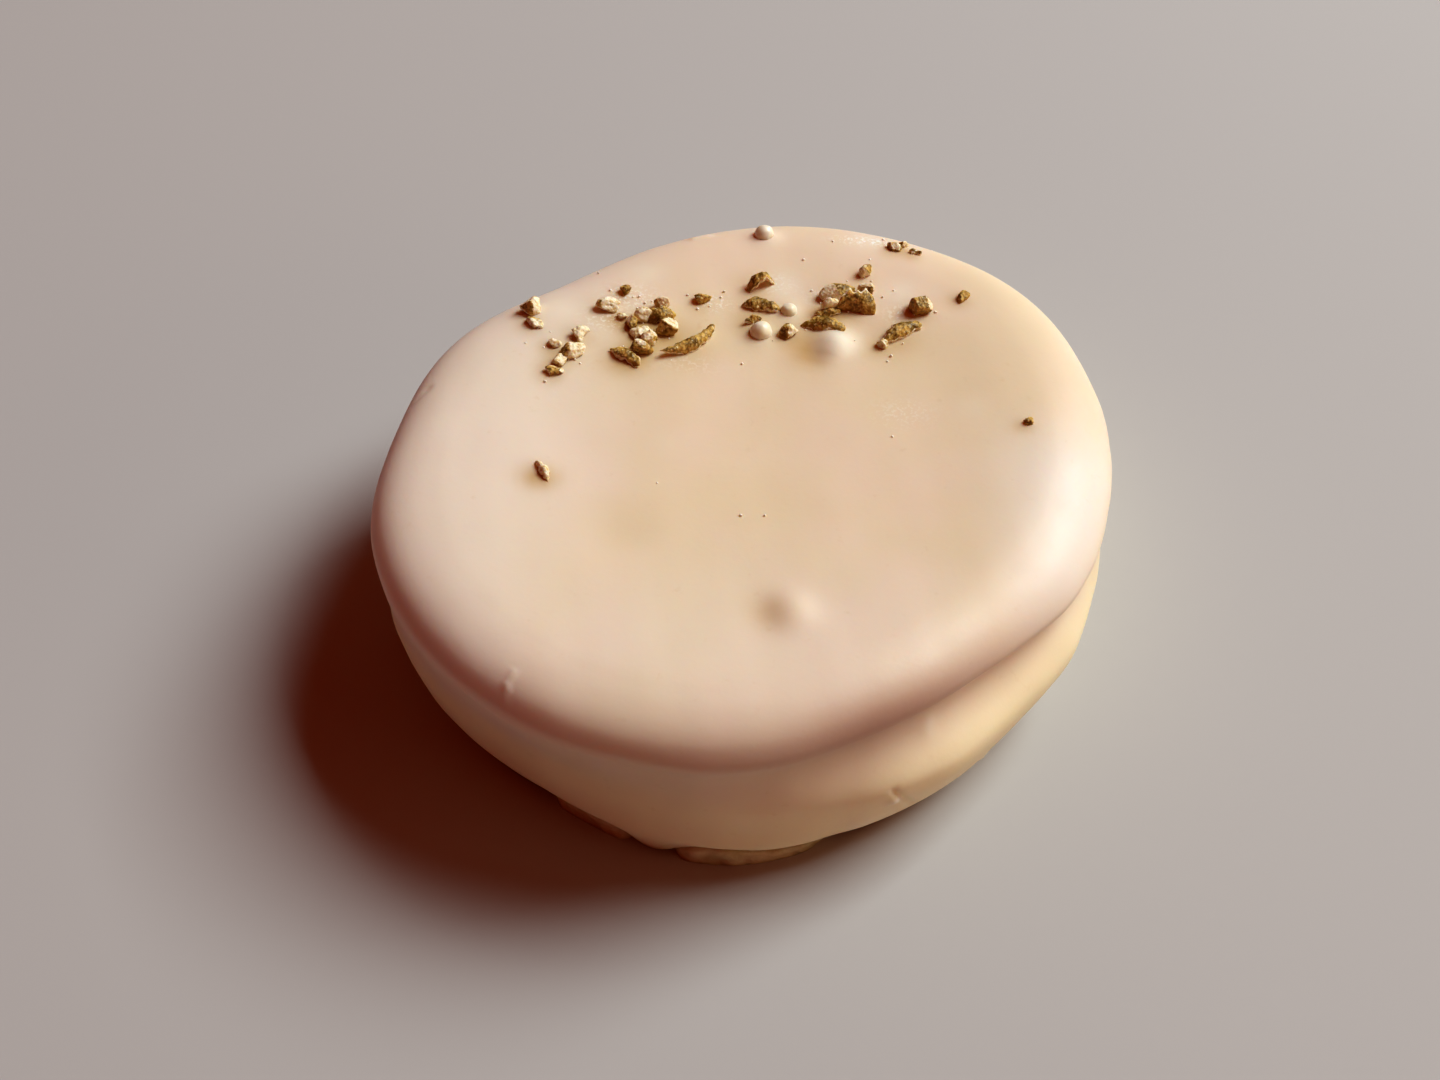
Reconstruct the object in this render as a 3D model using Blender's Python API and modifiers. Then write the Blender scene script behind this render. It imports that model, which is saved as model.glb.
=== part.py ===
# Lemon cream alfajor: a round filled biscuit under a smooth pale glaze, with lemon zest on top.
# Lengths are in metres, and the object stands on its flat underside, centred on its own box.

import math
import random

import bmesh
import bpy
from mathutils import Matrix, Vector
from mathutils.bvhtree import BVHTree

mm = 0.001

# Whole body
mean_radius = 32.0 * mm
height = 18.8 * mm
top_dish = 1.2 * mm
waist_height = 12.3 * mm
waist_blend = 3.0 * mm
foot_inset = 1.8 * mm
box_shift = (0.24 * mm, -0.44 * mm)

# How far the outlines stand out, in mm, at even steps from the left side round by the front
# The upper disc every 22.5 degrees, then the lower one against it and its foot every 30 degrees
upper_stand = (0.1, 1.9, 2.0, 1.2, -0.2, -2.8, -3.6, -2.0, -0.5, 1.6, 3.3, 2.3, 0.6, -1.7, -2.9, -0.5)
lower_stand = (-0.6, 0.3, -0.8, 0.6, 3.3, 2.3, 1.0, -0.3, -0.3, -0.3, -0.3, -0.3)
foot_splay = (-0.5, -2.1, -0.9, 0.1, -2.0, -1.8, -2.6, -0.5, -0.5, -0.5, -0.5, -0.5)

# Fold pressed into the side at the front right, along the waist
crease_depth = 1.9 * mm
crease_direction = -42
crease_spread = 26
crease_height = 2.2 * mm

# Soft fall of the rim at the right
slump_depth = 0.9 * mm
slump_direction = -8
slump_spread = 32

# Lower edge of the glaze: where it stops short of the ground
hem_clearance = 0.2 * mm
hem_fade = 5.0 * mm
hem_lifts = (
    (-112, 9, 2.4 * mm),
    (-102, 4, -1.0 * mm),
    (-92, 8, 2.2 * mm),
    (-78, 8, 1.3 * mm),
    (-160, 12, 0.7 * mm),
    (40, 25, 0.4 * mm),
    (150, 20, 0.6 * mm),
)

# Glaze body and the bare biscuit under it
skirt_thickness = 1.2 * mm
recess_height = 3.3 * mm
base_height = 3.0 * mm
node_gap = 0.3 * mm
glaze_segments = 84
rings_per_span = 3
base_segments = 72

# Zest, sugar and lumps, as x, y, heading in degrees, then sizes in mm
# Flakes: length, width, thickness, bend sideways, arch upwards, pointed end share, lean in degrees
flakes = (
    (-16.5, 11.6, 78, 2.4, 1.2, 0.5, 0.5, 0.5, 0.5, 35),
    (-9.5, 14.8, 18, 2.7, 1.5, 0.7, 0.2, 0.4, 0.3, 30),
    (-11.3, 12.7, 10, 2.1, 1.3, 0.5, -0.2, 0.4, 0.5, 10),
    (-12.4, 9.2, -30, 3.4, 1.2, 0.7, 0.3, 0.2, 0.7, 10),
    (-6.9, 12.0, 41, 6.2, 1.3, 0.9, -0.7, 0.2, 0.8, 20),
    (-0.6, 20.6, 34, 3.2, 1.0, 0.7, 0.3, 1.7, 0.3, 8),
    (-0.4, 17.5, -4, 3.7, 1.3, 0.8, 0.3, 0.3, 0.6, 15),
    (-1.0, 15.4, 25, 1.7, 0.6, 0.6, 0.2, 0.1, 0.6, 0),
    (5.5, 15.4, -6, 4.4, 1.6, 0.6, 0.4, 0.4, 0.8, 20),
    (8.6, 18.0, 2, 3.7, 2.5, 0.55, 0.5, 0.0, 0.15, 68),
    (5.9, 17.3, 14, 2.6, 0.9, 0.45, 0.1, 0.1, 0.85, 25),
    (12.9, 15.0, 38, 4.6, 1.5, 0.8, 0.4, 0.3, 0.7, 15),
    (-17.8, -5.6, -58, 2.5, 0.8, 0.6, 0.2, 0.3, 0.8, 10),
    (14.3, 26.9, -10, 1.3, 0.6, 0.4, 0.1, 0.1, 0.5, 0),
)

# Chunks: length, width, height
chunks = (
    (-21.8, 14.4, 20, 2.1, 1.7, 1.7),
    (-21.0, 12.4, -40, 1.7, 1.1, 1.0),
    (-18.9, 10.0, 0, 1.1, 0.9, 0.8),
    (-17.2, 9.3, 30, 2.1, 1.6, 1.4),
    (-18.2, 8.0, 70, 1.9, 1.1, 1.0),
    (-18.5, 6.5, 0, 1.7, 0.9, 0.8),
    (-13.2, 17.9, 30, 1.3, 1.0, 0.9),
    (-14.5, 15.6, 15, 2.3, 1.6, 1.3),
    (-13.2, 14.4, 0, 1.0, 0.8, 0.6),
    (-9.6, 16.1, 10, 1.6, 1.2, 1.7),
    (-11.2, 14.7, 0, 1.7, 1.4, 1.3),
    (-12.2, 13.7, 80, 1.6, 1.0, 1.4),
    (-8.8, 13.3, 40, 2.3, 1.9, 1.9),
    (-11.0, 10.5, 10, 2.1, 1.5, 1.4),
    (-10.3, 11.7, 60, 1.7, 1.4, 1.6),
    (-5.9, 17.8, 0, 1.4, 1.1, 1.0),
    (2.4, 14.4, 55, 2.2, 1.3, 1.3),
    (7.1, 19.9, 15, 3.6, 1.7, 1.7),
    (9.4, 20.6, -5, 1.5, 1.1, 1.5),
    (6.2, 18.1, 30, 1.8, 1.1, 1.9),
    (9.4, 23.1, 10, 1.6, 1.2, 1.1),
    (12.2, 27.3, 0, 1.5, 1.0, 0.9),
    (13.1, 28.0, 30, 1.1, 0.8, 0.8),
    (14.7, 18.5, 60, 2.6, 1.9, 2.0),
    (11.2, 13.6, 0, 1.2, 1.0, 0.9),
    (18.7, 20.4, 70, 1.5, 1.1, 0.9),
    (23.9, 4.1, 0, 0.9, 0.8, 0.6),
)

# Beads and soft lumps: radius, then the share of it that stands above the glaze
beads = (
    (-0.2, 14.2, 1.05, 0.55),
    (-0.6, 27.9, 0.95, 0.52),
    (2.3, 17.3, 0.8, 0.48),
    (6.7, 13.5, 1.8, 0.45),
    (3.9, -18.5, 1.7, 0.27),
)

topping_seed = 7

# Colours for the plain materials
glaze_colour = (0.80, 0.62, 0.45, 1.0)
biscuit_colour = (0.62, 0.44, 0.24, 1.0)


def clear_scene():
    for obj in list(bpy.data.objects):
        bpy.data.objects.remove(obj, do_unlink=True)


def new_collection(name):
    collection = bpy.data.collections.new(name)
    bpy.context.scene.collection.children.link(collection)
    return collection


def plain_material(name, colour, roughness):
    material = bpy.data.materials.new(name)
    material.use_nodes = True
    shader = material.node_tree.nodes["Principled BSDF"]
    shader.inputs["Base Color"].default_value = colour
    shader.inputs["Roughness"].default_value = roughness
    return material


def object_from(mesh_builder, name, collection):
    """Stores a bmesh as an object of this collection."""
    mesh = bpy.data.meshes.new(name)
    mesh_builder.to_mesh(mesh)
    mesh_builder.free()
    obj = bpy.data.objects.new(name, mesh)
    collection.objects.link(obj)
    return obj


def smooth(share):
    share = min(max(share, 0.0), 1.0)
    return share * share * (3 - 2 * share)


def bump(angle, direction, spread):
    """One at the direction, falling away to nothing on both sides. All in degrees."""
    away = (angle - direction + 180) % 360 - 180
    return math.exp(-((away / spread) ** 2))


def around(values, angle):
    """A smooth closed curve through values evenly spaced round the edge from the left side."""
    place = ((angle + 180) / 360 * len(values)) % len(values)
    first = int(place)
    share = place - first
    before, here, after, beyond = (values[(first + step) % len(values)] for step in (-1, 0, 1, 2))
    straight = (after - before) * share
    curved = (2 * before - 5 * here + 4 * after - beyond) * share**2
    turned = (3 * here - before - 3 * after + beyond) * share**3
    return 0.5 * (2 * here + straight + curved + turned)


def hem_lift(angle):
    return hem_clearance + sum(lift * bump(angle, direction, spread) for direction, spread, lift in hem_lifts)


def shaped(point, lifted=True):
    """Moves a point of the round body to its place on the uneven one."""
    radius = math.hypot(point.x, point.y)
    angle = math.degrees(math.atan2(point.y, point.x))
    share = radius / mean_radius
    upper = around(upper_stand, angle) * mm
    low = smooth((waist_height + waist_blend - point.z) / (2 * waist_blend))
    foot = smooth(1 - point.z / (0.8 * waist_height))
    stand = around(lower_stand, angle) * mm + foot * around(foot_splay, angle) * mm
    crease = crease_depth * bump(angle, crease_direction, crease_spread)
    crease *= math.exp(-(((point.z - waist_height) / crease_height) ** 2))
    radius += share * (upper + low * stand - crease)
    z = point.z
    slump = slump_depth * bump(angle, slump_direction, slump_spread)
    z -= slump * smooth((share - 0.75) / 0.25) * smooth((point.z - waist_height) / (3.5 * mm))
    if lifted:
        z += hem_lift(angle) * (1 - smooth(point.z / hem_fade))
    x = radius * math.cos(math.radians(angle)) + box_shift[0]
    y = radius * math.sin(math.radians(angle)) + box_shift[1]
    return Vector((x, y, z))


def outer_profile():
    """Points (radius, height) down the outside, from the middle of the top to the lower edge."""
    edge = mean_radius
    anchors = (
        (0, height - top_dish),
        (0.4 * edge, height - 0.72 * top_dish),
        (edge - 8.5 * mm, height - 0.1 * mm),
        (edge - 5.0 * mm, height),
        (edge - 2.8 * mm, height - 0.35 * mm),
        (edge - 1.3 * mm, height - 1.1 * mm),
        (edge - 0.4 * mm, height - 2.2 * mm),
        (edge - 0.15 * mm, height - 3.2 * mm),
        (edge - 0.35 * mm, height - 4.4 * mm),
        (edge - 0.65 * mm, waist_height),
        (edge - 0.85 * mm, 0.82 * waist_height),
        (edge - 0.8 * mm, 0.56 * waist_height),
        (edge - 0.75 * mm, 0.30 * waist_height),
        (edge - foot_inset, 0),
    )
    points = []
    for first in range(len(anchors) - 1):
        here = Vector(anchors[first])
        after = Vector(anchors[first + 1])
        before = Vector(anchors[first - 1]) if first else 2 * here - after
        beyond = Vector(anchors[first + 2]) if first + 2 < len(anchors) else 2 * after - here
        for step in range(rings_per_span):
            share = step / rings_per_span
            straight = (after - before) * share
            curved = (2 * before - 5 * here + 4 * after - beyond) * share**2
            turned = (3 * here - before - 3 * after + beyond) * share**3
            points.append(0.5 * (2 * here + straight + curved + turned))
    points.append(Vector(anchors[-1]))
    points[0].x = 0
    return points


def turned_body(points, segments, name, collection):
    """Turns a profile that runs from axis to axis into a closed body."""
    profile = bmesh.new()
    corners = [profile.verts.new((point.x, 0, point.y)) for point in points]
    for first, second in zip(corners, corners[1:]):
        profile.edges.new((first, second))
    rough = object_from(profile, name + "_profile", collection)
    screw = rough.modifiers.new("Turn", "SCREW")
    screw.steps = segments
    screw.render_steps = segments
    screw.use_merge_vertices = True
    screw.merge_threshold = 0.00002
    body = bmesh.new()
    body.from_object(rough, bpy.context.evaluated_depsgraph_get())
    bpy.data.objects.remove(rough, do_unlink=True)
    bmesh.ops.recalc_face_normals(body, faces=body.faces)
    return body


def make_glaze(collection):
    """The glazed body with its shallow recess underneath."""
    points = outer_profile()
    inside = mean_radius - foot_inset - skirt_thickness
    points += [
        Vector((mean_radius - foot_inset - 0.5 * mm, -0.05 * mm)),
        Vector((inside, 0.05 * mm)),
        Vector((inside, 1.6 * mm)),
        Vector((inside, recess_height)),
        Vector((0.5 * inside, recess_height)),
        Vector((0, recess_height)),
    ]
    body = turned_body(points, glaze_segments, "glaze", collection)
    for vertex in body.verts:
        under = vertex.co.z <= recess_height + 0.01 * mm and vertex.co.xy.length < inside + 0.01 * mm
        ceiling = under and vertex.co.z > 0.9 * recess_height
        vertex.co = shaped(vertex.co, lifted=not ceiling)
        if ceiling:
            vertex.co.z = recess_height
    return object_from(body, "glaze", collection)


def make_base(collection):
    """The bare biscuit underneath, which comes out to the edge where the glaze stops short."""
    inside = mean_radius - foot_inset - skirt_thickness - node_gap
    flush = mean_radius - foot_inset + 0.3 * mm
    points = [
        Vector((0, base_height)),
        Vector((0.6 * inside, base_height)),
        Vector((inside - 0.5 * mm, base_height)),
        Vector((inside, base_height - 0.4 * mm)),
        Vector((inside, 0.5 * mm)),
        Vector((inside + 0.01 * mm, 0.35 * mm)),
        Vector((inside + 0.01 * mm, 0)),
        Vector((0.6 * inside, 0)),
        Vector((0, 0)),
    ]
    body = turned_body(points, base_segments, "biscuit_base", collection)
    for vertex in body.verts:
        angle = math.degrees(math.atan2(vertex.co.y, vertex.co.x))
        step = max(hem_lift(angle) - node_gap, 0.2 * mm)
        bare = smooth((hem_lift(angle) - 0.6 * mm) / (1.2 * mm))
        radius = vertex.co.xy.length
        foot_edge = radius > inside + 0.005 * mm
        above_foot = not foot_edge and radius > inside - 0.01 * mm and vertex.co.z < 1.0 * mm
        if foot_edge and vertex.co.z > 0.1 * mm:
            vertex.co.z = step
        if above_foot:
            vertex.co.z = step + 0.15 * mm
        if foot_edge:
            grown = radius + bare * (flush - inside)
            vertex.co.xy = vertex.co.xy * (grown / radius)
        vertex.co = shaped(vertex.co, lifted=False)
    return object_from(body, "biscuit_base", collection)


def flake_mesh(length, width, thickness, bend, arch, point_share):
    """A slab of peel, narrowed to both ends, bent sideways and arched upwards."""
    slab = bmesh.new()
    bmesh.ops.create_cube(slab, size=1)
    long_edges = [edge for edge in slab.edges if abs(edge.verts[0].co.x - edge.verts[1].co.x) > 0.5]
    bmesh.ops.subdivide_edges(slab, edges=long_edges, cuts=5, use_grid_fill=True)
    for vertex in slab.verts:
        along = 2 * vertex.co.x
        taper = 1 - point_share * abs(along) ** 2.2
        ripple = 0.10 * math.sin(5 * along + 3 * vertex.co.y)
        vertex.co.x = along * length / 2
        vertex.co.y = vertex.co.y * width * taper + bend * (1 - along**2)
        vertex.co.z = vertex.co.z * thickness * (0.5 + 0.5 * taper) + arch * (1 - along**2) + ripple * thickness
    return slab


def chunk_mesh(length, width, tall, draw):
    """A broken crumb: the hull of points drawn on a rounded block."""
    crumb = bmesh.new()
    for _ in range(13):
        way = Vector((draw.gauss(0, 1), draw.gauss(0, 1), draw.gauss(0, 1))).normalized()
        reach = draw.uniform(0.42, 0.56)
        crumb.verts.new((way.x * length * reach, way.y * width * reach, way.z * tall * reach))
    hull = bmesh.ops.convex_hull(crumb, input=crumb.verts)
    loose = [item for item in hull["geom_interior"] + hull["geom_unused"] if isinstance(item, bmesh.types.BMVert)]
    bmesh.ops.delete(crumb, geom=list(set(loose)), context="VERTS")
    bmesh.ops.recalc_face_normals(crumb, faces=crumb.faces)
    return crumb


def bead_mesh(radius):
    ball = bmesh.new()
    bmesh.ops.create_icosphere(ball, subdivisions=2, radius=radius)
    return ball


def placed(mesh, surface, x, y, heading, lean, sink):
    """Turns a topping and lays it on the glaze, sunk a little way in."""
    hit, normal, _, _ = surface.ray_cast(Vector((x * mm, y * mm, 2 * height)), Vector((0, 0, -1)))
    level = Vector((0, 0, 1)).rotation_difference(normal).to_matrix().to_4x4()
    turn = Matrix.Rotation(math.radians(heading), 4, "Z") @ Matrix.Rotation(math.radians(lean), 4, "X")
    bmesh.ops.transform(mesh, matrix=level @ turn @ Matrix.Scale(mm, 4), verts=mesh.verts)
    lowest = min(vertex.co.z for vertex in mesh.verts)
    highest = max(vertex.co.z for vertex in mesh.verts)
    rise = -lowest - sink * (highest - lowest)
    bmesh.ops.translate(mesh, vec=hit + Vector((0, 0, rise)), verts=mesh.verts)
    return mesh


def make_toppings(surface, collection):
    draw = random.Random(topping_seed)
    made = []
    for number, (x, y, heading, length, width, thickness, bend, arch, point_share, lean) in enumerate(flakes):
        mesh = flake_mesh(length, width, thickness, bend, arch, point_share)
        placed(mesh, surface, x, y, heading, lean, 0.28)
        made.append(object_from(mesh, f"flake_{number}", collection))
    for number, (x, y, heading, length, width, tall) in enumerate(chunks):
        mesh = chunk_mesh(length, width, tall, draw)
        placed(mesh, surface, x, y, heading, 0, 0.25)
        made.append(object_from(mesh, f"chunk_{number}", collection))
    for number, (x, y, radius, standing) in enumerate(beads):
        mesh = bead_mesh(radius)
        if standing < 0.5:
            bmesh.ops.scale(mesh, vec=(1, 1, standing), verts=mesh.verts)
            placed(mesh, surface, x, y, 0, 0, 0.5)
        else:
            placed(mesh, surface, x, y, 0, 0, 1 - standing)
        made.append(object_from(mesh, f"bead_{number}", collection))
    return made


def fuse(body, toppings, collection):
    """One union makes the glaze and what lies on it a single solid."""
    union = body.modifiers.new("Toppings", "BOOLEAN")
    union.operation = "UNION"
    union.operand_type = "COLLECTION"
    union.collection = collection
    union.solver = "EXACT"
    merged = bmesh.new()
    merged.from_object(body, bpy.context.evaluated_depsgraph_get())
    body.modifiers.clear()
    merged.to_mesh(body.data)
    merged.free()
    for obj in toppings:
        bpy.data.objects.remove(obj, do_unlink=True)


def main():
    clear_scene()
    parts = new_collection("lemon_cream_alfajor")
    cutters = new_collection("toppings")
    glaze = make_glaze(parts)
    base = make_base(parts)
    whole = bmesh.new()
    whole.from_mesh(glaze.data)
    surface = BVHTree.FromBMesh(whole)
    whole.free()
    toppings = make_toppings(surface, cutters)
    fuse(glaze, toppings, cutters)
    glaze.data.materials.clear()
    glaze.data.shade_smooth()
    glaze.data.set_sharp_from_angle(angle=math.radians(40))
    base.data.shade_smooth()
    base.data.set_sharp_from_angle(angle=math.radians(40))
    glaze.data.materials.append(plain_material("glaze", glaze_colour, 0.35))
    base.data.materials.append(plain_material("biscuit", biscuit_colour, 0.85))


main()
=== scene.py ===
import math

import bpy
import numpy as np
from mathutils import Matrix, Vector


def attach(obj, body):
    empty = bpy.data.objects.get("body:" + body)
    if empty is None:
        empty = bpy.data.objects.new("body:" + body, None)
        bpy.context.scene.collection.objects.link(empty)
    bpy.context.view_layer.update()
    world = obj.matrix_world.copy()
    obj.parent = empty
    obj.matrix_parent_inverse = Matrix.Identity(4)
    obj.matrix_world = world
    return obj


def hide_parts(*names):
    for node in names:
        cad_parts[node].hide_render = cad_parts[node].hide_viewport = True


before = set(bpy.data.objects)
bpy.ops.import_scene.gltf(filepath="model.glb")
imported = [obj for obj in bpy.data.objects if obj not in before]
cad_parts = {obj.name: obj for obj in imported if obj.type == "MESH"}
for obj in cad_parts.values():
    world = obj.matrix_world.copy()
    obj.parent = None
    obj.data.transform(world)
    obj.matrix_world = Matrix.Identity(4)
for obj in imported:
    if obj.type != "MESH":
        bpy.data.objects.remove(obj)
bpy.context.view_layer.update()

mm = 0.001  # everything below is worked out in millimetres and stored in metres


def smoothStep(share):
    # 3s^2 - 2s^3 between 0 and 1
    share = np.clip(share, 0.0, 1.0)
    return share * share * (3 - 2 * share)


def roundTheEdge(angle, direction, spread):
    # a bell in the angle, 1 at the direction, in degrees
    away = (angle - direction + 180) % 360 - 180
    return np.exp(-((away / spread) ** 2))


def closedCurve(values, angle):
    # Catmull-Rom curve through values spaced evenly round the edge, from -180 degrees on
    values = np.array(values, float)
    place = ((angle + 180) / 360 * len(values)) % len(values)
    first = np.floor(place).astype(int)
    share = place - first
    before, here, after, beyond = (values[(first + step) % len(values)] for step in (-1, 0, 1, 2))
    return 0.5 * (2 * here + (after - before) * share
                  + (2 * before - 5 * here + 4 * after - beyond) * share ** 2
                  + (3 * here - before - 3 * after + beyond) * share ** 3)


def waveNoise(points, size, seed, octaves=3, terms=7):
    # sum of sines in random directions, each octave at half the size and half the height, about -1 to 1
    draw = np.random.default_rng(seed)
    total = np.zeros(points.shape[:-1])
    height = 1.0
    for _ in range(octaves):
        ways = draw.normal(size=(terms, 3))
        ways /= np.linalg.norm(ways, axis=1)[:, None]
        phases = draw.uniform(0, 2 * math.pi, terms)
        waves = np.sin(points @ ways.T * (2 * math.pi / size) + phases)
        total += height * waves.sum(-1) / math.sqrt(terms)
        size *= 0.5
        height *= 0.5
    return total * 0.7


def gridFaces(rows, columns, start=0):
    # quads of a grid whose rows close round on themselves, plus a fan to a pole at each end
    row, column = np.meshgrid(np.arange(rows - 1), np.arange(columns), indexing="ij")
    here = start + row * columns + column
    beside = start + row * columns + (column + 1) % columns
    quads = np.stack([here, here + columns, beside + columns, beside], -1).reshape(-1, 4)
    around = np.arange(columns)
    nextOne = (around + 1) % columns
    firstPole = start + rows * columns
    lastRow = start + (rows - 1) * columns
    firstFan = np.stack([np.full(columns, firstPole), start + around, start + nextOne], -1)
    lastFan = np.stack([np.full(columns, firstPole + 1), lastRow + nextOne, lastRow + around], -1)
    return quads, np.concatenate([firstFan, lastFan])


def makeObject(name, points, quads, triangles, marks=None, sharpAngle=None):
    # points in mm; marks are named values per vertex that the material reads
    mesh = bpy.data.meshes.new(name)
    mesh.from_pydata((points * mm).tolist(), [], quads.tolist() + triangles.tolist())
    for label, values in (marks or {}).items():
        layer = mesh.attributes.new(label, "FLOAT", "POINT")
        layer.data.foreach_set("value", np.ascontiguousarray(values, np.float32))
    mesh.shade_smooth()
    if sharpAngle:
        mesh.set_sharp_from_angle(angle=math.radians(sharpAngle))
    mesh.update()
    piece = bpy.data.objects.new(name, mesh)
    bpy.context.scene.collection.objects.link(piece)
    return piece


# body shape in mm, the same sizes as the CAD part
body = {
    "meanRadius": 32.0,
    "height": 18.8,
    "topDish": 1.2,
    "waistHeight": 12.3,
    "waistBlend": 3.0,
    "footInset": 1.8,
    "boxShift": (0.24, -0.44),
    # how far the outlines stand out, at even steps from the left side round by the front
    "upperStand": (0.1, 1.9, 2.0, 1.2, -0.2, -2.8, -3.6, -2.0, -0.5, 1.6, 3.3, 2.3, 0.6, -1.7, -2.9, -0.5),
    "lowerStand": (-0.6, 0.3, -0.8, 0.6, 3.3, 2.3, 1.0, -0.3, -0.3, -0.3, -0.3, -0.3),
    "footSplay": (-0.5, -2.1, -0.9, 0.1, -2.0, -1.8, -2.6, -0.5, -0.5, -0.5, -0.5, -0.5),
    "creaseDepth": 1.9,
    "creaseDirection": -42,
    "creaseSpread": 26,
    "creaseHeight": 2.2,
    # soft fall of the rim at the right
    "slumpDepth": 0.9,
    "slumpDirection": -8,
    "slumpSpread": 32,
    "hemClearance": 0.2,
    "hemFade": 5.0,
    "hemLifts": ((-112, 9, 2.4), (-102, 4, -1.0), (-92, 8, 2.2), (-78, 8, 1.3), (-160, 12, 0.7),
                 (40, 25, 0.4), (150, 20, 0.6)),
    "skirt": 1.2,
    "recess": 3.3,
    "baseHeight": 3.0,
    "gap": 0.3,
}


def upperStand(angle):
    return closedCurve(body["upperStand"], angle)


def hemLift(angle):
    return body["hemClearance"] + sum(lift * roundTheEdge(angle, direction, spread)
                                      for direction, spread, lift in body["hemLifts"])


def shapedBody(radius, z, angle, lifted=True):
    # moves a point of the round turned body out or in by the two outlines and the fold
    share = radius / body["meanRadius"]
    low = smoothStep((body["waistHeight"] + body["waistBlend"] - z) / (2 * body["waistBlend"]))
    foot = smoothStep(1 - z / (0.8 * body["waistHeight"]))
    stand = closedCurve(body["lowerStand"], angle) + foot * closedCurve(body["footSplay"], angle)
    crease = body["creaseDepth"] * roundTheEdge(angle, body["creaseDirection"], body["creaseSpread"])
    crease = crease * np.exp(-(((z - body["waistHeight"]) / body["creaseHeight"]) ** 2))
    radius = radius + share * (upperStand(angle) + low * stand - crease)
    slump = body["slumpDepth"] * roundTheEdge(angle, body["slumpDirection"], body["slumpSpread"])
    sinking = slump * smoothStep((share - 0.75) / 0.25) * smoothStep((z - body["waistHeight"]) / 3.5)
    if lifted:
        z = z + hemLift(angle) * (1 - smoothStep(z / body["hemFade"]))
    z = z - sinking
    x = radius * np.cos(np.radians(angle)) + body["boxShift"][0]
    y = radius * np.sin(np.radians(angle)) + body["boxShift"][1]
    return np.stack([x, y, z + 0 * x], -1)


def outerProfile(perSpan):
    # Catmull-Rom curve down the outside, from the middle of the top to the lower edge
    edge, top, waist, dish = body["meanRadius"], body["height"], body["waistHeight"], body["topDish"]
    anchors = np.array([
        (0, top - dish), (0.4 * edge, top - 0.72 * dish), (edge - 8.5, top - 0.1), (edge - 5.0, top),
        (edge - 2.8, top - 0.35), (edge - 1.3, top - 1.1), (edge - 0.4, top - 2.2), (edge - 0.15, top - 3.2),
        (edge - 0.35, top - 4.4), (edge - 0.65, waist), (edge - 0.85, 0.82 * waist),
        (edge - 0.8, 0.56 * waist), (edge - 0.75, 0.30 * waist), (edge - body["footInset"], 0),
    ])
    mirrored = anchors[1] * (-1, 1)  # keeps the middle of the top level
    padded = np.vstack([mirrored, anchors, 2 * anchors[-1] - anchors[-2]])
    spans = len(anchors) - 1
    place = np.arange(spans * perSpan + 1) / perSpan
    first = np.minimum(place.astype(int), spans - 1)
    share = (place - first)[:, None]
    before, here, after, beyond = (padded[first + step] for step in range(4))
    curve = 0.5 * (2 * here + (after - before) * share
                   + (2 * before - 5 * here + 4 * after - beyond) * share ** 2
                   + (3 * here - before - 3 * after + beyond) * share ** 3)
    curve[0, 0] = 0
    return curve


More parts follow.
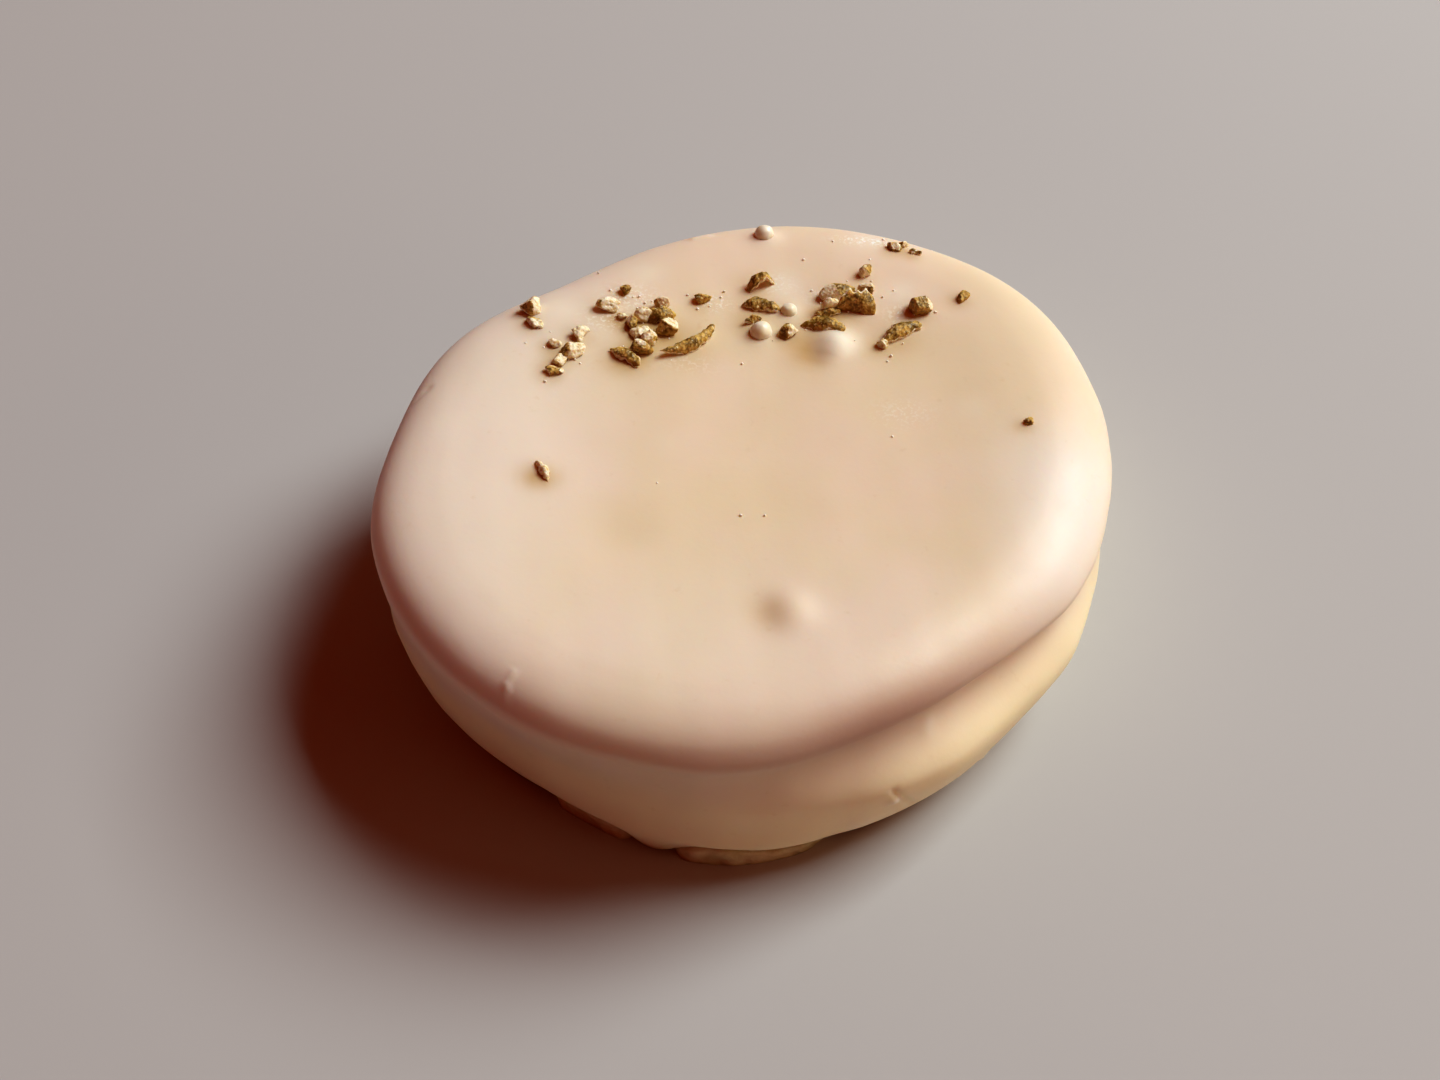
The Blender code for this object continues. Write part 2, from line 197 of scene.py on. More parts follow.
# what lies on top: x, y, heading in degrees, then sizes in mm
zest = {
    # length, width, thickness, bend, arch, pointed share, lean, rind side up (1) or pith side up (0)
    "flakes": (
        (-16.5, 11.6, 78, 2.4, 1.2, 0.5, 0.5, 0.5, 0.5, 35, 0.2),
        (-9.5, 14.8, 18, 2.7, 1.5, 0.7, 0.2, 0.4, 0.3, 30, 1.0),
        (-11.3, 12.7, 10, 2.1, 1.3, 0.5, -0.2, 0.4, 0.5, 10, 0.3),
        (-12.4, 9.2, -30, 3.4, 1.2, 0.7, 0.3, 0.2, 0.7, 10, 0.8),
        (-6.9, 12.0, 221, 6.2, 1.3, 0.9, 0.7, 0.2, 0.75, -20, 1.0),
        (-0.6, 20.6, 34, 3.2, 1.0, 0.7, 0.3, 1.7, 0.3, 8, 0.8),
        (-0.4, 17.5, -4, 3.7, 1.3, 0.8, 0.3, 0.3, 0.6, 15, 0.9),
        (-1.0, 15.4, 25, 1.7, 0.6, 0.6, 0.2, 0.1, 0.6, 0, 1.0),
        (5.5, 15.4, -6, 4.4, 1.6, 0.6, 0.4, 0.4, 0.8, 20, 0.9),
        (8.6, 18.0, 2, 3.7, 2.5, 0.55, 0.5, 0.0, 0.15, 68, 1.0),
        (5.9, 17.3, 14, 2.6, 0.9, 0.45, 0.1, 0.1, 0.85, 25, 0.7),
        (12.9, 15.0, 38, 4.6, 1.5, 0.8, 0.4, 0.3, 0.7, 15, 0.8),
        (-17.8, -5.6, -58, 2.5, 0.8, 0.6, 0.2, 0.3, 0.8, 10, 0.25),
        (14.3, 26.9, -10, 1.3, 0.6, 0.4, 0.1, 0.1, 0.5, 0, 0.6),
    ),
    # length, width, height, share of it that is rind
    "chunks": (
        (-21.8, 14.4, 20, 2.1, 1.7, 1.7, 0.4),
        (-21.0, 12.4, -40, 1.7, 1.1, 1.0, 0.4),
        (-18.9, 10.0, 0, 1.1, 0.9, 0.8, 0.1),
        (-17.2, 9.3, 30, 2.1, 1.6, 1.4, 0.5),
        (-18.2, 8.0, 70, 1.9, 1.1, 1.0, 0.2),
        (-18.5, 6.5, 0, 1.7, 0.9, 0.8, 0.7),
        (-13.2, 17.9, 30, 1.3, 1.0, 0.9, 1.0),
        (-14.5, 15.6, 15, 2.3, 1.6, 1.3, 0.1),
        (-13.2, 14.4, 0, 1.0, 0.8, 0.6, 0.0),
        (-9.6, 16.1, 10, 1.6, 1.2, 1.7, 0.1),
        (-11.2, 14.7, 0, 1.7, 1.4, 1.3, 0.2),
        (-12.2, 13.7, 80, 1.6, 1.0, 1.4, 0.9),
        (-8.8, 13.3, 40, 2.3, 1.9, 1.9, 0.6),
        (-11.0, 10.5, 10, 2.1, 1.5, 1.4, 0.9),
        (-10.3, 11.7, 60, 1.7, 1.4, 1.6, 0.2),
        (-5.9, 17.8, 0, 1.4, 1.1, 1.0, 1.0),
        (2.4, 14.4, 55, 2.2, 1.3, 1.3, 0.6),
        (7.1, 19.9, 15, 3.6, 1.7, 1.7, 0.8),
        (9.4, 20.6, -5, 1.5, 1.1, 1.5, 0.1),
        (6.2, 18.1, 30, 1.8, 1.1, 1.9, 0.0),
        (9.4, 23.1, 10, 1.6, 1.2, 1.1, 0.5),
        (12.2, 27.3, 0, 1.5, 1.0, 0.9, 0.8),
        (13.1, 28.0, 30, 1.1, 0.8, 0.8, 0.1),
        (14.7, 18.5, 60, 2.6, 1.9, 2.0, 0.8),
        (11.2, 13.6, 0, 1.2, 1.0, 0.9, 0.2),
        (18.7, 20.4, 70, 1.5, 1.1, 0.9, 1.0),
        (23.9, 4.1, 0, 0.9, 0.8, 0.6, 1.0),
    ),
    "seed": 11,
    "rindDark": (0.19, 0.105, 0.008, 1),
    "rindLight": (0.66, 0.44, 0.13, 1),
    # painted shade: deeper, darker golden brown for the foot of each piece
    "rindPaintedUnderShade": (0.42, 0.21, 0.01, 1),
    "pithShade": (0.68, 0.47, 0.20, 1),
    "pithLight": (0.90, 0.81, 0.62, 1),
    "fleck": (0.84, 0.70, 0.42, 1),
}

sugar = {
    # x, y, radius, share that stands above the glaze
    "beads": ((-0.2, 14.2, 1.05, 0.42), (-0.6, 27.9, 0.95, 0.42), (2.3, 17.3, 0.8, 0.32)),
    # the glaze that climbs round a bead: height, and reach in bead radii
    "climb": (0.34, 1.45),
    # lone specks on the bare glaze: x, y, size
    "specks": ((-0.7, -8.4, 0.3), (1.3, -8.2, 0.3), (12.0, 2.0, 0.25), (-7.4, 18.3, 0.35), (-16.2, 20.9, 0.3),
               (-8.0, -5.5, 0.25), (6.2, 27.7, 0.35), (-6.3, 16.6, 0.3), (-1.7, 10.1, 0.3), (3.4, 24.6, 0.3)),
    "grains": 60,
    "grainSize": (0.14, 0.34),
    # fine frost lying on the glaze: x, y, reach along x, reach along y, share
    "frost": ((9.6, 28.3, 2.6, 0.8, 1.0), (6.6, 19.6, 2.2, 1.2, 0.5), (-4.6, 17.6, 1.3, 0.9, 0.6),
              (-12.6, 17.4, 2.4, 1.6, 0.5), (12.8, 18.0, 1.3, 1.0, 0.6), (-15.0, 14.0, 1.8, 1.4, 0.45),
              (1.0, 21.0, 1.6, 1.2, 0.4), (13.0, 5.0, 2.5, 1.6, 0.25), (-6.5, 9.5, 2.4, 1.0, 0.25)),
    "seed": 5,
    "colour": (0.87, 0.78, 0.58, 1),
    "grainColour": (0.98, 0.96, 0.90, 1),
}

glaze = {
    # soft lumps under the glaze: x, y, radius, height, how white
    "lumps": ((6.7, 13.5, 1.6, 0.8, 1.0), (3.9, -18.5, 1.75, 0.42, 0.2)),
    "hollows": ((-10.3, -11.5, 3.2, 0.10), (5.2, 12.0, 1.3, 0.2), (1.9, -18.8, 1.6, 0.07)),
    # thin marks on the rim, raised or sunk: from x, y to x, y, half width, height
    "ridges": ((-16.9, -26.4, -17.3, -27.6, 0.2, 0.10), (-17.3, -27.4, -17.5, -29.0, 0.22, 0.12),
               (-30.6, 2.0, -29.3, 3.6, 0.35, -0.12), (-7.6, 27.2, -6.2, 27.8, 0.4, 0.2)),
    # painted golden shade and shadow on the glaze, beside the two lumps, in a hollow and beside zest: x, y,
    # radius, share
    "paintedShadeSpots": ((2.4, -18.9, 2.0, 0.40), (4.6, 12.2, 1.9, 0.72), (-10.3, -11.5, 3.0, 0.07),
               (-17.6, -6.4, 1.3, 0.4), (-11.8, 9.2, 1.5, 0.45)),
    "mostPaintedShade": 0.75,
    # the same painted shadow beside each piece of zest, set off to the left and forward, away from the light:
    # share, how far left and forward, reach for each mm of length
    "zestPaintedShadow": {"share": 0.42, "left": 0.45, "forward": 0.4, "reach": 0.36, "margin": 0.55},
    # soft white patches: x, y, radius, share
    "patches": ((1.9, 20.8, 2.0, 0.5), (12.9, 21.0, 1.6, 0.45), (9.6, 28.2, 1.8, 0.4),
                (-18.7, 14.9, 1.5, 0.35), (-11.3, 20.9, 1.4, 0.35), (19.2, 6.1, 1.6, 0.2),
                (-26.7, -1.9, 2.2, 0.2), (-7.5, -0.7, 1.4, 0.15)),
    # darker, pinker band along the front lip, painted shade where the lip turns away from the light, in
    # degrees and mm
    "paintedLipShadeBand": {"direction": -66, "spread": 26, "height": 16.5, "width": 2.0, "fromRadius": 24.5},
    # small marks on the side: direction in degrees, z, radius, how far out, how white
    "sideSpots": ((-45.3, 3.9, 0.6, 0.2, 0.7), (-65.5, 7.9, 0.5, 0.22, 0.6), (-69.4, 5.2, 1.6, 0.25, 0.3),
                  (-58.3, 12.6, 0.9, 0.15, 0.2)),
    # cracks down the side: from direction, z to direction, z, half width, depth
    "cracks": ((-65.9, 9.5, -60.9, 4.9, 0.2, 0.2),),
    "sideScale": 0.53,  # mm along the side for each degree
    "topFrom": 14.5,  # the side turns into the top over the next few mm
    "topBlend": 3.0,
    "ripple": 0.05,
    "sideRipple": 2.2,  # how many times stronger the ripple is on the side
    "rings": 12,
    "columns": 640,
}


def topRelief(x, y):
    # lumps and hollows as bells in x and y, and ridges as bells across a short line
    rise = np.zeros_like(x)
    for lumpX, lumpY, radius, height, _ in glaze["lumps"]:
        rise = rise + height * np.exp(-(((x - lumpX) ** 2 + (y - lumpY) ** 2) / radius ** 2) ** 1.15)
    for hollowX, hollowY, radius, depth in glaze["hollows"]:
        rise = rise - depth * np.exp(-((x - hollowX) ** 2 + (y - hollowY) ** 2) / radius ** 2)
    for startX, startY, endX, endY, halfWidth, height in glaze["ridges"]:
        wayX, wayY = endX - startX, endY - startY
        share = np.clip(((x - startX) * wayX + (y - startY) * wayY) / (wayX ** 2 + wayY ** 2), 0, 1)
        away = (x - startX - share * wayX) ** 2 + (y - startY - share * wayY) ** 2
        rise = rise + height * np.exp(-away / halfWidth ** 2)
    climb, reach = sugar["climb"]
    for beadX, beadY, radius, _ in sugar["beads"]:
        rise = rise + climb * np.exp(-(((x - beadX) ** 2 + (y - beadY) ** 2) / (reach * radius) ** 2))
    return rise


topLine = outerProfile(16)
topLine = topLine[:np.argmax(topLine[:, 0])]


def topHeight(x, y):
    # undoes the lobes to find the round radius, then reads the profile there
    acrossX, acrossY = x - body["boxShift"][0], y - body["boxShift"][1]
    angle = np.degrees(np.arctan2(acrossY, acrossX))
    radius = np.hypot(acrossX, acrossY) / (1 + upperStand(angle) / body["meanRadius"])
    return np.interp(radius, topLine[:, 0], topLine[:, 1]) + topRelief(x, y)


def restingPlace(x, y, heading, lean):
    # the point on the glaze and the turn that lays a piece on it
    x, y = np.array(float(x)), np.array(float(y))
    step = 0.6
    slopeX = (topHeight(x + step, y) - topHeight(x - step, y)) / (2 * step)
    slopeY = (topHeight(x, y + step) - topHeight(x, y - step)) / (2 * step)
    normal = Vector((-float(slopeX), -float(slopeY), 1)).normalized()
    level = Vector((0, 0, 1)).rotation_difference(normal).to_matrix()
    headed = Matrix.Rotation(math.radians(heading), 3, "Z")
    turn = level @ headed @ Matrix.Rotation(math.radians(lean), 3, "X")
    return np.array([x, y, topHeight(x, y)], float), np.array(turn)


def laid(points, x, y, heading, lean, sink):
    # turns a piece, then sets it down with a share of its height under the surface
    place, turn = restingPlace(x, y, heading, lean)
    points = points @ turn.T
    low, high = points[:, 2].min(), points[:, 2].max()
    return points + place + np.array([0, 0, -low - sink * (high - low)])


def joined(name, parts, sharpAngle=None):
    # many closed grids in one mesh, each part (points, rows, columns, marks)
    points, quads, fans = [], [], []
    marks = {label: [] for label in parts[0][3]}
    start = 0
    for spots, rows, columns, own in parts:
        faces, caps = gridFaces(rows, columns, start)
        points.append(spots)
        quads.append(faces)
        fans.append(caps)
        for label in marks:
            marks[label].append(own[label])
        start += len(spots)
    marks = {label: np.concatenate(values) for label, values in marks.items()}
    points, quads, fans = np.concatenate(points), np.concatenate(quads), np.concatenate(fans)
    return makeObject(name, points, quads, fans, marks, sharpAngle)


def newMaterial(name):
    material = bpy.data.materials.new(name)
    material.use_nodes = True
    nodes = material.node_tree.nodes
    return material, nodes, material.node_tree.links, nodes["Principled BSDF"]


def noiseNode(nodes, links, coords, scale, detail=3.0, roughness=0.55):
    # scale is in cycles per metre of the piece
    noise = nodes.new("ShaderNodeTexNoise")
    noise.inputs["Scale"].default_value = scale
    noise.inputs["Detail"].default_value = detail
    noise.inputs["Roughness"].default_value = roughness
    links.new(coords, noise.inputs["Vector"])
    return noise.outputs["Fac"]


def rangeNode(nodes, links, value, low, high, outLow=0.0, outHigh=1.0):
    node = nodes.new("ShaderNodeMapRange")
    node.interpolation_type = "SMOOTHSTEP"
    node.inputs["From Min"].default_value = low
    node.inputs["From Max"].default_value = high
    node.inputs["To Min"].default_value = outLow
    node.inputs["To Max"].default_value = outHigh
    links.new(value, node.inputs["Value"])
    return node.outputs["Result"]


def mixNode(nodes, links, share, first, second):
    # first and second are colours or sockets
    node = nodes.new("ShaderNodeMix")
    node.data_type = "RGBA"
    links.new(share, node.inputs["Factor"])
    for socket, value in (("A", first), ("B", second)):
        target = [slot for slot in node.inputs if slot.name == socket and slot.type == "RGBA"][0]
        if isinstance(value, tuple):
            target.default_value = value
        else:
            links.new(value, target)
    return [slot for slot in node.outputs if slot.type == "RGBA"][0]


def mathNode(nodes, links, operation, first, second):
    node = nodes.new("ShaderNodeMath")
    node.operation = operation
    for slot, value in zip(node.inputs, (first, second)):
        if isinstance(value, (int, float)):
            slot.default_value = value
        else:
            links.new(value, slot)
    return node.outputs["Value"]


def markNode(nodes, label):
    node = nodes.new("ShaderNodeAttribute")
    node.attribute_name = label
    return node.outputs["Fac"]


def bumpNode(nodes, links, height, strength, distance):
    node = nodes.new("ShaderNodeBump")
    node.inputs["Strength"].default_value = strength
    node.inputs["Distance"].default_value = distance
    links.new(height, node.inputs["Height"])
    return node.outputs["Normal"]


glazeFinish = {
    "cream": (0.80, 0.67, 0.49, 1),
    "rose": (0.83, 0.68, 0.54, 1),
    # painted light: a brighter, warmer cream for the lower body, in place of the light and warm bounce that
    # reach it
    "paintedLightLowerCream": (0.90, 0.78, 0.52, 1),
    # painted light: paler cream where the top faces the light, and painted sheen on the right lip
    "pale": (0.83, 0.75, 0.67, 1),
    "milk": (0.90, 0.84, 0.72, 1),
    # painted shade: darker pink for the front lip where it turns away from the light
    "paintedLipShade": (0.54, 0.36, 0.28, 1),
    "hem": (0.62, 0.40, 0.16, 1),
    # golden brown, used for fine random speckle and for painted shade and shadow by the zest and the lumps
    "speckleAndPaintedShade": (0.52, 0.30, 0.07, 1),
    # where the painted light of the lower body fades in
    "paintedLightLowerRange": (0.0135, 0.008),  # metres above the ground, from none to all
    "hemRange": (0.0016, 0.0005),
    "roughness": (0.40, 0.52),
    "shine": 0.3,
    "subsurface": 0.35,
    "subsurfaceScale": 0.003,
}


def glazeMaterial():
    # cream with broad rosy patches, brighter and warmer low down as painted light and warm bounce on the
    # lower body, then the marks that the coat's mesh carries, some of them painted light and painted shade
    material, nodes, links, shader = newMaterial("lemonGlaze")
    coords = nodes.new("ShaderNodeTexCoord").outputs["Object"]
    height = nodes.new("ShaderNodeSeparateXYZ")
    links.new(coords, height.inputs["Vector"])
    broad = rangeNode(nodes, links, noiseNode(nodes, links, coords, 60, 2), 0.35, 0.65)
    colour = mixNode(nodes, links, broad, glazeFinish["cream"], glazeFinish["rose"])
    # painted light and painted sheen from the pale mark
    colour = mixNode(nodes, links, markNode(nodes, "pale"), colour, glazeFinish["pale"])
    # painted light and warm bounce: the coat turns brighter and warmer below the waist
    paintedLowerLight = rangeNode(nodes, links, height.outputs["Z"], *glazeFinish["paintedLightLowerRange"])
    colour = mixNode(nodes, links, paintedLowerLight, colour, glazeFinish["paintedLightLowerCream"])
    # painted shade along the front lip
    colour = mixNode(nodes, links, markNode(nodes, "paintedLipShade"), colour, glazeFinish["paintedLipShade"])
    hem = rangeNode(nodes, links, height.outputs["Z"], *glazeFinish["hemRange"], 0.0, 0.6)
    colour = mixNode(nodes, links, hem, colour, glazeFinish["hem"])
    fine = rangeNode(nodes, links, noiseNode(nodes, links, coords, 900, 4), 0.62, 0.80, 0.0, 0.10)
    colour = mixNode(nodes, links, fine, colour, glazeFinish["speckleAndPaintedShade"])
    # painted shade and shadow by the zest, the lumps and a hollow
    colour = mixNode(nodes, links, markNode(nodes, "speckleAndPaintedShade"), colour, glazeFinish["speckleAndPaintedShade"])
    colour = mixNode(nodes, links, markNode(nodes, "milk"), colour, glazeFinish["milk"])
    sparkle = rangeNode(nodes, links, noiseNode(nodes, links, coords, 3000, 2), 0.50, 0.62)
    frosted = mathNode(nodes, links, "MULTIPLY", sparkle, markNode(nodes, "frost"))
    colour = mixNode(nodes, links, frosted, colour, sugar["grainColour"])
    links.new(colour, shader.inputs["Base Color"])
    low, high = glazeFinish["roughness"]
    links.new(rangeNode(nodes, links, noiseNode(nodes, links, coords, 160, 3), 0.3, 0.7, low, high),
              shader.inputs["Roughness"])
    grain = noiseNode(nodes, links, coords, 1400, 3)
    links.new(bumpNode(nodes, links, grain, 0.12, 0.0001), shader.inputs["Normal"])
    shader.inputs["Subsurface Weight"].default_value = glazeFinish["subsurface"]
    shader.inputs["Subsurface Radius"].default_value = (1.0, 0.55, 0.28)
    shader.inputs["Subsurface Scale"].default_value = glazeFinish["subsurfaceScale"]
    shader.inputs["IOR"].default_value = 1.45
    shader.inputs["Specular IOR Level"].default_value = glazeFinish["shine"]
    return material


def makeGlaze():
    # turned profile on a grid of angle and ring, with the relief of the top added upwards
    profile = outerProfile(glaze["rings"])
    foot = body["meanRadius"] - body["footInset"]
    inside = foot - body["skirt"]
    under = np.array([
        (foot - 0.25, -0.06), (foot - 0.55, -0.06), (inside + 0.2, 0.0),
        (inside, 0.15), (inside, 0.9), (inside, 1.8), (inside, body["recess"]),
        (0.6 * inside, body["recess"]), (0.2 * inside, body["recess"]),
    ])
    outerCount = len(profile) - 1
    lines = np.vstack([profile[1:], under])
    columns = glaze["columns"]
    angle = np.linspace(-180, 180, columns, endpoint=False)[None, :]
    radius, z = lines[:, :1], lines[:, 1:]
    points = shapedBody(radius + 0 * angle, z + 0 * angle, angle + 0 * radius)
    flat = shapedBody(radius + 0 * angle, z + 0 * angle, angle + 0 * radius, lifted=False)
    ceiling = lines[:, 1] >= body["recess"]
    ceiling[:outerCount] = False
    points[ceiling] = flat[ceiling]
    x, y = points[..., 0], points[..., 1]
    onTop = smoothStep((points[..., 2] - glaze["topFrom"]) / glaze["topBlend"])
    points[..., 2] += topRelief(x, y) * onTop
    # slow waviness of a poured coat, pushed out along the radius on the side and upwards on top
    wave = waveNoise(points, 14.0, 3, octaves=3) * glaze["ripple"]
    outward = np.stack([np.cos(np.radians(angle + 0 * radius)), np.sin(np.radians(angle + 0 * radius)),
                        0 * (angle + radius)], -1)
    sideShare = (1 - onTop)[..., None]
    outer = np.zeros(len(lines))
    outer[:outerCount] = 1
    points += outward * (wave * glaze["sideRipple"])[..., None] * sideShare * outer[:, None, None]
    points[..., 2] += wave * onTop * outer[:, None]
    # chips and a crack on the side, as bells round a spot or a line
    sideMilk = np.zeros(x.shape)
    facing = np.degrees(np.arctan2(y, x))
    side = np.stack([facing * glaze["sideScale"], points[..., 2]], -1)
    scale = np.array([glaze["sideScale"], 1])
    for *spot, spotRadius, out, white in glaze["sideSpots"]:
        bell = np.exp(-((side - np.array(spot) * scale) ** 2).sum(-1) / spotRadius ** 2)
        bell = bell * (1 - onTop) * outer[:, None]
        points += outward * (bell * out)[..., None]
        sideMilk = sideMilk + white * bell
    for *line, halfWidth, depth in glaze["cracks"]:
        start, way = np.array(line[:2]) * scale, (np.array(line[2:]) - np.array(line[:2])) * scale
        share = np.clip((side - start) @ way / (way @ way), 0, 1)
        away = ((side - start - share[..., None] * way) ** 2).sum(-1)
        groove = np.exp(-away / halfWidth ** 2) * (1 - onTop) * outer[:, None]
        points -= outward * (depth * groove)[..., None]
    # marks: white lumps, and painted warm shadow by the zest
    milk = np.zeros(x.shape)
    for lumpX, lumpY, lumpRadius, _, white in glaze["lumps"]:
        milk += white * np.exp(-(((x - lumpX) ** 2 + (y - lumpY) ** 2) / (1.1 * lumpRadius) ** 2))
    for patchX, patchY, patchRadius, white in glaze["patches"]:
        milk += white * np.exp(-((x - patchX) ** 2 + (y - patchY) ** 2) / patchRadius ** 2)
    speckleAndPaintedShade = np.zeros(x.shape)
    beside = glaze["zestPaintedShadow"]
    for itemX, itemY, _, length, *_ in zest["flakes"] + zest["chunks"]:
        reach = beside["reach"] * length + beside["margin"]
        away = (x - itemX + beside["left"]) ** 2 + (y - itemY + beside["forward"]) ** 2
        speckleAndPaintedShade += beside["share"] * np.exp(-away / reach ** 2)
    # painted shade at the listed spots
    for stainX, stainY, reach, share in glaze["paintedShadeSpots"]:
        speckleAndPaintedShade += share * np.exp(-((x - stainX) ** 2 + (y - stainY) ** 2) / reach ** 2)
    # painted light and painted sheen: the coat is paler towards the left, the front and the right lip, where
    # the top faces the light or catches its sheen
    pale = np.maximum(smoothStep((-x - 6) / 18) * 0.7, smoothStep((-y - 6) / 18) * 0.38)
    pale = np.maximum(pale, smoothStep((x - 16) / 12) * smoothStep((8 - y) / 10)) * onTop
    milk, speckleAndPaintedShade = np.clip(milk, 0, 1) * onTop, np.clip(speckleAndPaintedShade, 0, glaze["mostPaintedShade"]) * onTop
    # painted shade: the lip is darker and pinker in front, above the fold
    band = glaze["paintedLipShadeBand"]
    paintedLipShade = roundTheEdge(facing, band["direction"], band["spread"])
    paintedLipShade = paintedLipShade * np.exp(-(((points[..., 2] - band["height"]) / band["width"]) ** 2))
    paintedLipShade *= smoothStep((np.hypot(x, y) - band["fromRadius"]) / 5)
    milk += sideMilk
    frost = np.zeros(x.shape)
    for frostX, frostY, reachX, reachY, white in sugar["frost"]:
        frost += white * np.exp(-((x - frostX) / reachX) ** 2 - ((y - frostY) / reachY) ** 2)
    frost = np.clip(frost, 0, 1) * onTop
    poles = shapedBody(np.array([0.0, 0.0]), np.array([profile[0, 1], body["recess"]]), np.array([0.0, 0.0]),
                       lifted=False)
    quads, fans = gridFaces(len(lines), columns)
    everything = np.concatenate([points.reshape(-1, 3), poles])
    marks = {label: np.append(values.reshape(-1), (0, 0))
             for label, values in (("milk", milk), ("speckleAndPaintedShade", speckleAndPaintedShade), ("pale", pale), ("paintedLipShade", paintedLipShade),
                                  ("frost", frost))}
    piece = makeObject("glazeCoat", everything, quads, fans, marks)
    piece.data.materials.append(glazeMaterial())
    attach(piece, "root")
    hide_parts("glaze")
    print("glaze coat:", len(quads), "quads")


# the bare biscuit underneath
biscuit = {
    "columns": 360,
    "crumb": 0.16,
    "baked": (0.60, 0.53, 0.30, 1),
    "pale": (0.76, 0.70, 0.46, 1),
    "roughness": (0.75, 0.95),
}


def biscuitMaterial():
    # two baked tones in patches, with a crumbly bump
    material, nodes, links, shader = newMaterial("bareBiscuit")
    coords = nodes.new("ShaderNodeTexCoord").outputs["Object"]
    patches = rangeNode(nodes, links, noiseNode(nodes, links, coords, 350, 4), 0.35, 0.65)
    colour = mixNode(nodes, links, patches, biscuit["pale"], biscuit["baked"])
    links.new(colour, shader.inputs["Base Color"])
    low, high = biscuit["roughness"]
    links.new(rangeNode(nodes, links, noiseNode(nodes, links, coords, 800, 3), 0.3, 0.7, low, high),
              shader.inputs["Roughness"])
    crumb = noiseNode(nodes, links, coords, 2200, 5, 0.7)
    links.new(bumpNode(nodes, links, crumb, 0.5, 0.0003), shader.inputs["Normal"])
    shader.inputs["Subsurface Weight"].default_value = 0.1
    shader.inputs["Subsurface Scale"].default_value = 0.001
    return material


def makeBiscuit():
    # a low disc whose foot comes out flush with the glaze wherever the glaze stops short
    flush = body["meanRadius"] - body["footInset"] + 0.3
    inside = body["meanRadius"] - body["footInset"] - body["skirt"] - body["gap"]
    columns = biscuit["columns"]
    angle = np.linspace(-180, 180, columns, endpoint=False)
    lift = hemLift(angle)
    step = np.maximum(lift - body["gap"], 0.2)
    bare = smoothStep((lift - 0.6) / 1.2)
    foot = inside + bare * (flush - inside)
    top = body["baseHeight"]
    rows = [(0.3 * inside, top), (0.7 * inside, top), (inside - 0.4, top), (inside, top - 0.35)]
    rings = [(np.full(columns, r), np.full(columns, z)) for r, z in rows]
    rings += [(np.full(columns, inside), step + 0.15), (foot - 0.12 * bare, step), (foot, 0.72 * step),
              (foot, 0.40 * step), (foot - 0.05, 0.12 * step), (foot - 0.15, 0 * step)]
    rings += [(np.full(columns, 0.7 * inside), 0 * step), (np.full(columns, 0.3 * inside), 0 * step)]
    radius = np.array([ring[0] for ring in rings])
    z = np.array([ring[1] for ring in rings])
    points = shapedBody(radius, z, angle[None, :] + 0 * radius, lifted=False)
    # crumbly broken rim, only where it is bare
    crumb = waveNoise(points, 1.6, 21, octaves=3) * biscuit["crumb"]
    edge = ((radius > inside - 0.1) & (z > 0.02)) * bare[None, :]
    away = np.stack([np.cos(np.radians(angle)), np.sin(np.radians(angle)), 0 * angle], -1)[None]
    points += away * ((crumb - biscuit["crumb"]) * edge)[..., None]
    poles = shapedBody(np.array([0.0, 0.0]), np.array([top, 0.0]), np.array([0.0, 0.0]), lifted=False)
    quads, fans = gridFaces(len(rings), columns)
    piece = makeObject("bareBiscuit", np.concatenate([points.reshape(-1, 3), poles]), quads, fans)
    piece.data.materials.append(biscuitMaterial())
    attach(piece, "root")
    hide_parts("biscuit_base")
    print("bare biscuit:", len(quads), "quads")


def zestMaterial():
    # granular golden rind, with painted shade that makes it deeper at the foot of each piece, with paler pith
    # and cut edges
    material, nodes, links, shader = newMaterial("lemonZest")
    coords = nodes.new("ShaderNodeTexCoord").outputs["Object"]
    cells = nodes.new("ShaderNodeTexVoronoi")
    cells.inputs["Scale"].default_value = 3600
    links.new(coords, cells.inputs["Vector"])
    blotches = noiseNode(nodes, links, coords, 1300, 4, 0.65)
    pores = mathNode(nodes, links, "MULTIPLY", cells.outputs["Distance"], 0.25)
    tone = mathNode(nodes, links, "SUBTRACT", blotches, pores)
    rindTone = rangeNode(nodes, links, tone, 0.22, 0.50)
    rind = mixNode(nodes, links, rindTone, zest["rindDark"], zest["rindLight"])
    flecks = rangeNode(nodes, links, noiseNode(nodes, links, coords, 3400, 2), 0.58, 0.68, 0.0, 0.75)
    rind = mixNode(nodes, links, flecks, rind, zest["fleck"])
    # painted shade at the foot of each piece, read from the under mark
    rind = mixNode(nodes, links, markNode(nodes, "under"), rind, zest["rindPaintedUnderShade"])
    pithTone = rangeNode(nodes, links, noiseNode(nodes, links, coords, 2100, 4, 0.65), 0.32, 0.58)
    pith = mixNode(nodes, links, pithTone, zest["pithShade"], zest["pithLight"])
    share = mathNode(nodes, links, "ADD", markNode(nodes, "rind"), noiseNode(nodes, links, coords, 1900, 3))
    colour = mixNode(nodes, links, rangeNode(nodes, links, share, 0.88, 1.08), pith, rind)
    links.new(colour, shader.inputs["Base Color"])
    links.new(rangeNode(nodes, links, tone, 0.2, 0.5, 0.42, 0.68), shader.inputs["Roughness"])
    links.new(bumpNode(nodes, links, cells.outputs["Distance"], 0.6, 0.00010), shader.inputs["Normal"])
    shader.inputs["Subsurface Weight"].default_value = 0.25
    shader.inputs["Subsurface Radius"].default_value = (1.0, 0.6, 0.2)
    shader.inputs["Subsurface Scale"].default_value = 0.0007
    return material


def paintedUnderShade(spots):
    # painted shade: one at the foot of a piece, none in its upper half
    low, high = spots[:, 2].min(), spots[:, 2].max()
    return 0.85 * (1 - smoothStep((spots[:, 2] - low) / (high - low) * 1.7 - 0.25))


